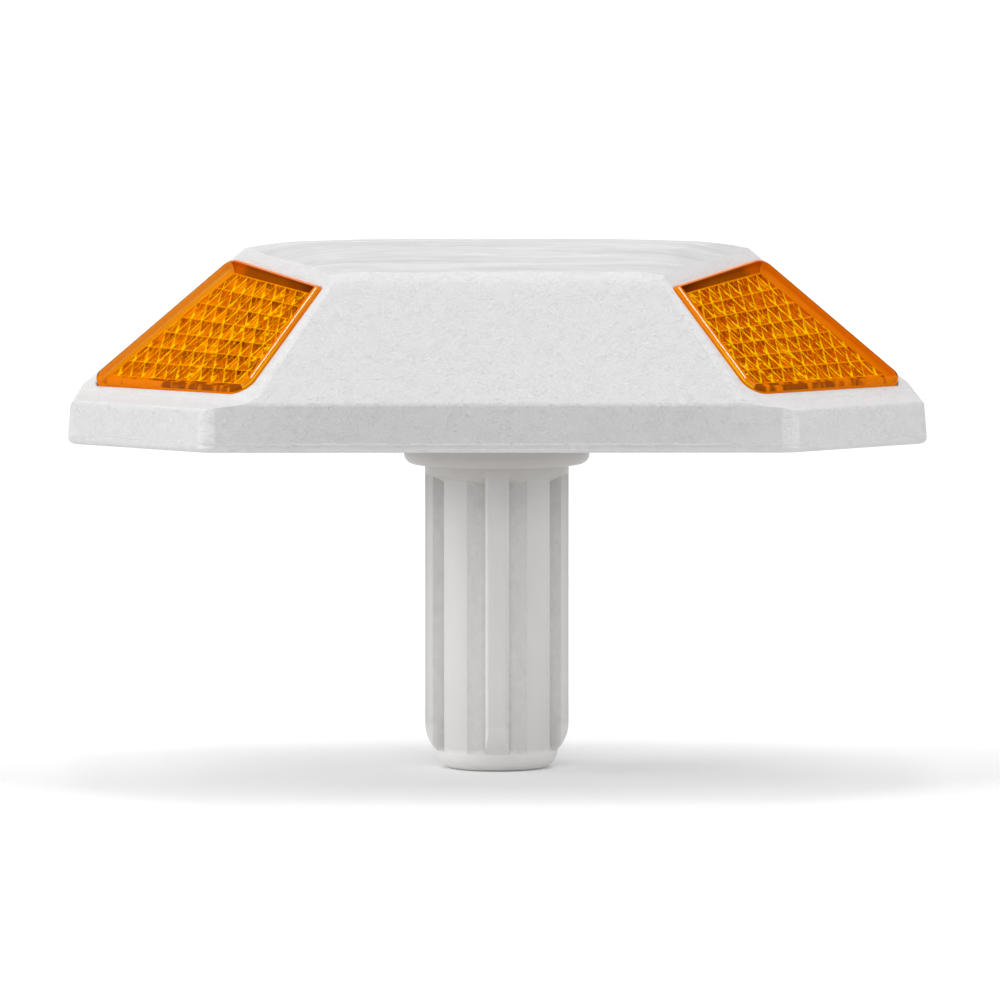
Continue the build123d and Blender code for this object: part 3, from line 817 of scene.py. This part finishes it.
def traySurface(tree):
    look = trayLook
    depth, side, inner = tree.layer("mark", (0, 1, 2))
    share, height = tree.layer("share", (0, 1))
    place = tree.place()
    ticks = tree.noise(place, **look["ticks"])
    clouds = tree.noise(place, **look["clouds"])
    right = rightSide(tree, place)
    onBottom, onRidge, onTop, onEnd = (tree.near(side - number / 3, look["sideWidth"]) for number in range(4))
    level = tree.rise(depth, *look["level"])
    # margin inside the rim; along the top it gets painted shade, and the lighter band at the end of the left
    # lenses is painted light coming through the lens
    uneven = clouds - 0.5
    topShade = tree.rise(share + uneven * look["topShadeClouds"], *look["topShade"])
    topDark = tree.rise(share + uneven * look["topDarkClouds"], *look["topDark"])
    topBand = tree.mix(topDark, tree.mix(topShade, amber["middle"], amber["shade"]), amber["dark"])
    tickColour = tree.mix(tree.rise(share, *look["tickShade"]), amber["brown"], amber["shade"])
    tickStep = tree.rise(ticks + look["tickLean"] * (look["tickMiddle"] - share), *look["tickStep"])
    bottomBand = tree.mix(tickStep, tickColour, amber["bright"])
    endColour = tree.mix(right, amber["band"], amber["bright"])
    innerColour = tree.mix(right, amber["rung"], amber["bright"])
    endBand = tree.mix(level * tree.rise(inner, *look["innerBand"]), endColour, innerColour)
    margin = tree.mix(onTop, amber["middle"], topBand)
    margin = tree.mix(onBottom, margin, bottomBand)
    margin = tree.mix(onEnd, margin, endBand)
    margin = tree.mix(onRidge * (1 - level), margin, amber["red"])
    margin = tree.mix(tree.rise(inner, *look["fieldEdge"]) * (1 - onEnd), margin, amber["bright"])
    # rim: an orange wall, yellow low down beside the ridge, a painted rosy reflection along the top and dark
    # round the end
    ridgeLine = (onRidge * tree.near(depth - look["ridgeLineAt"], look["ridgeLineWidth"])
                 * tree.fall(height, *look["ridgeLineHeight"]))
    endWall = tree.mix(tree.rise(depth, *look["endEdge"]), amber["edge"], endColour)
    wall = tree.mix(clouds, amber["wall"], amber["wallPale"])
    wall = tree.mix(ridgeLine, wall, amber["line"])
    wall = tree.mix(onTop * look["roseShare"], wall, amber["rose"])
    wall = tree.mix(onEnd, wall, endWall)
    wall = tree.mix(onBottom * tree.rise(depth, *look["bottomFrom"]), wall, bottomBand)
    colour = tree.mix(tree.rise(depth, *look["marginFrom"]), wall, margin)
    # one narrow face of the rim is polished
    polished = tree.between(depth, look["polishedFrom"], look["polishedTo"]) * (1 - onBottom)
    return {
        "Base Color": colour,
        "Roughness": look["roughness"] + look["roughnessSpread"] * clouds,
        "Coat Weight": polished,
    }


backingFinish = {"colour": (0.45, 0.16, 0.02), "roughness": 0.4}
prismAmber = surface("prismAmber", prismSurface, {
    "IOR": amber["ior"], "Specular IOR Level": prismLook["specular"]})
trayAmber = surface("trayAmber", traySurface, {
    "IOR": amber["ior"], "Specular IOR Level": trayLook["specular"],
    "Coat Roughness": trayLook["coatRoughness"], "Coat IOR": trayLook["coatIor"]})
backing = surface("backingAmber", plainSurface(backingFinish), {})
for name, flip in flips.items():
    tray = lensTray(flip, "lensTray_" + name, trayAmber)
    sheet = prismSheet(flip, "prismSheet_" + name, prismAmber, lensUnit["seeds"][name])
    for piece in (tray, sheet):
        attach(piece, "root")
    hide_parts("lens_" + name)
    dress("lens_backing_" + name, backing)
print("lenses made")

# pale floor under the shank's tip, in metres; the camera and glossy or clear surfaces see it white
stageLook = {
    "floor": -0.03932,
    "halfWidth": 12.0,
    "colour": (0.87, 0.87, 0.87, 1.0),
    "seenColour": (1.0, 1.0, 1.0, 1.0),
    "glow": 0.126,
    "world": 0.0,
}


def floorSurface():
    material = bpy.data.materials.new("floorPale")
    material.use_nodes = True
    material.node_tree.nodes.clear()
    tree = Tree(material.node_tree)
    rays = tree.node("ShaderNodeLightPath", out=("Is Camera Ray", "Is Glossy Ray", "Is Transmission Ray"))
    white = stageLook["seenColour"]
    plain = tree.node("ShaderNodeBsdfDiffuse", {}, {"Color": stageLook["colour"]})
    bright = tree.node("ShaderNodeBsdfDiffuse", {}, {"Color": white})
    glow = tree.node("ShaderNodeEmission", {}, {"Color": white, "Strength": stageLook["glow"]})
    seen = tree.node("ShaderNodeAddShader", {}, {0: bright, 1: glow})
    share = tree.clamp(rays[0] + rays[1] + rays[2])
    mixed = tree.node("ShaderNodeMixShader", {}, {0: share, 1: plain, 2: seen})
    tree.node("ShaderNodeOutputMaterial", {}, {"Surface": mixed})
    return material


half = stageLook["halfWidth"]
floorCorners = [(-half, -half, 0), (half, -half, 0), (half, half, 0), (-half, half, 0)]
floorMesh = bpy.data.meshes.new("floor")
floorMesh.from_pydata(floorCorners, [], [(0, 1, 2, 3)])
floorMesh.materials.append(floorSurface())
floor = bpy.data.objects.new("floor", floorMesh)
floor.location.z = stageLook["floor"]
bpy.context.scene.collection.objects.link(floor)

world = bpy.data.worlds.new("studio")
bpy.context.scene.world = world
world.use_nodes = True
background = world.node_tree.nodes["Background"]
background.inputs["Color"].default_value = (1.0, 1.0, 1.0, 1.0)
background.inputs["Strength"].default_value = stageLook["world"]

# soft light from all round: each lamp's way from the object, its strength and its width in degrees
lamps = {
    "left": ((-0.978, 0.0, 0.208), 1.32, 40.0),
    "right": ((0.978, 0.0, 0.208), 0.57, 40.0),
    "front": ((0.0, -0.848, 0.53), 0.90, 40.0),
    "back": ((0.0, 0.53, 0.848), 0.74, 40.0),
    "highLeft": ((-0.53, 0.0, 0.848), 0.86, 46.0),
    "highRight": ((0.53, 0.0, 0.848), 0.77, 46.0),
    "top": ((0.0, 0.16, 0.987), 0.20, 9.0),
    "lowBack": ((0.0, 0.94, 0.341), 0.06, 12.0),
}
for name, (way, strength, width) in lamps.items():
    lampData = bpy.data.lights.new(name, "SUN")
    lampData.energy = strength
    lampData.angle = math.radians(width)
    lamp = bpy.data.objects.new(name, lampData)
    lamp.rotation_euler = Vector(way).to_track_quat("Z", "Y").to_euler()
    bpy.context.scene.collection.objects.link(lamp)

# metres from the shank's axis and above the road, degrees, and millimetres for the lens and the sensor
cameraLook = {
    "distance": 1.170,
    "height": 0.07508,
    "azimuth": -0.273,
    "pitch": -4.053,
    "yaw": -0.0184,
    "lens": 359.56,
    "sensor": 36.0,
    "clip": (0.05, 60.0),
}
cameraData = bpy.data.cameras.new("camera")
cameraData.lens = cameraLook["lens"]
cameraData.sensor_width = cameraLook["sensor"]
cameraData.clip_start, cameraData.clip_end = cameraLook["clip"]
eye = bpy.data.objects.new("camera", cameraData)
around = math.radians(cameraLook["azimuth"])
distance = cameraLook["distance"]
eye.location = (distance * math.sin(around), -distance * math.cos(around), cameraLook["height"])
eye.rotation_euler = (math.radians(90 + cameraLook["pitch"]), 0.0, around + math.radians(cameraLook["yaw"]))
bpy.context.scene.collection.objects.link(eye)
bpy.context.scene.camera = eye
bpy.context.scene.view_settings.view_transform = "Standard"
print("stage and camera set")
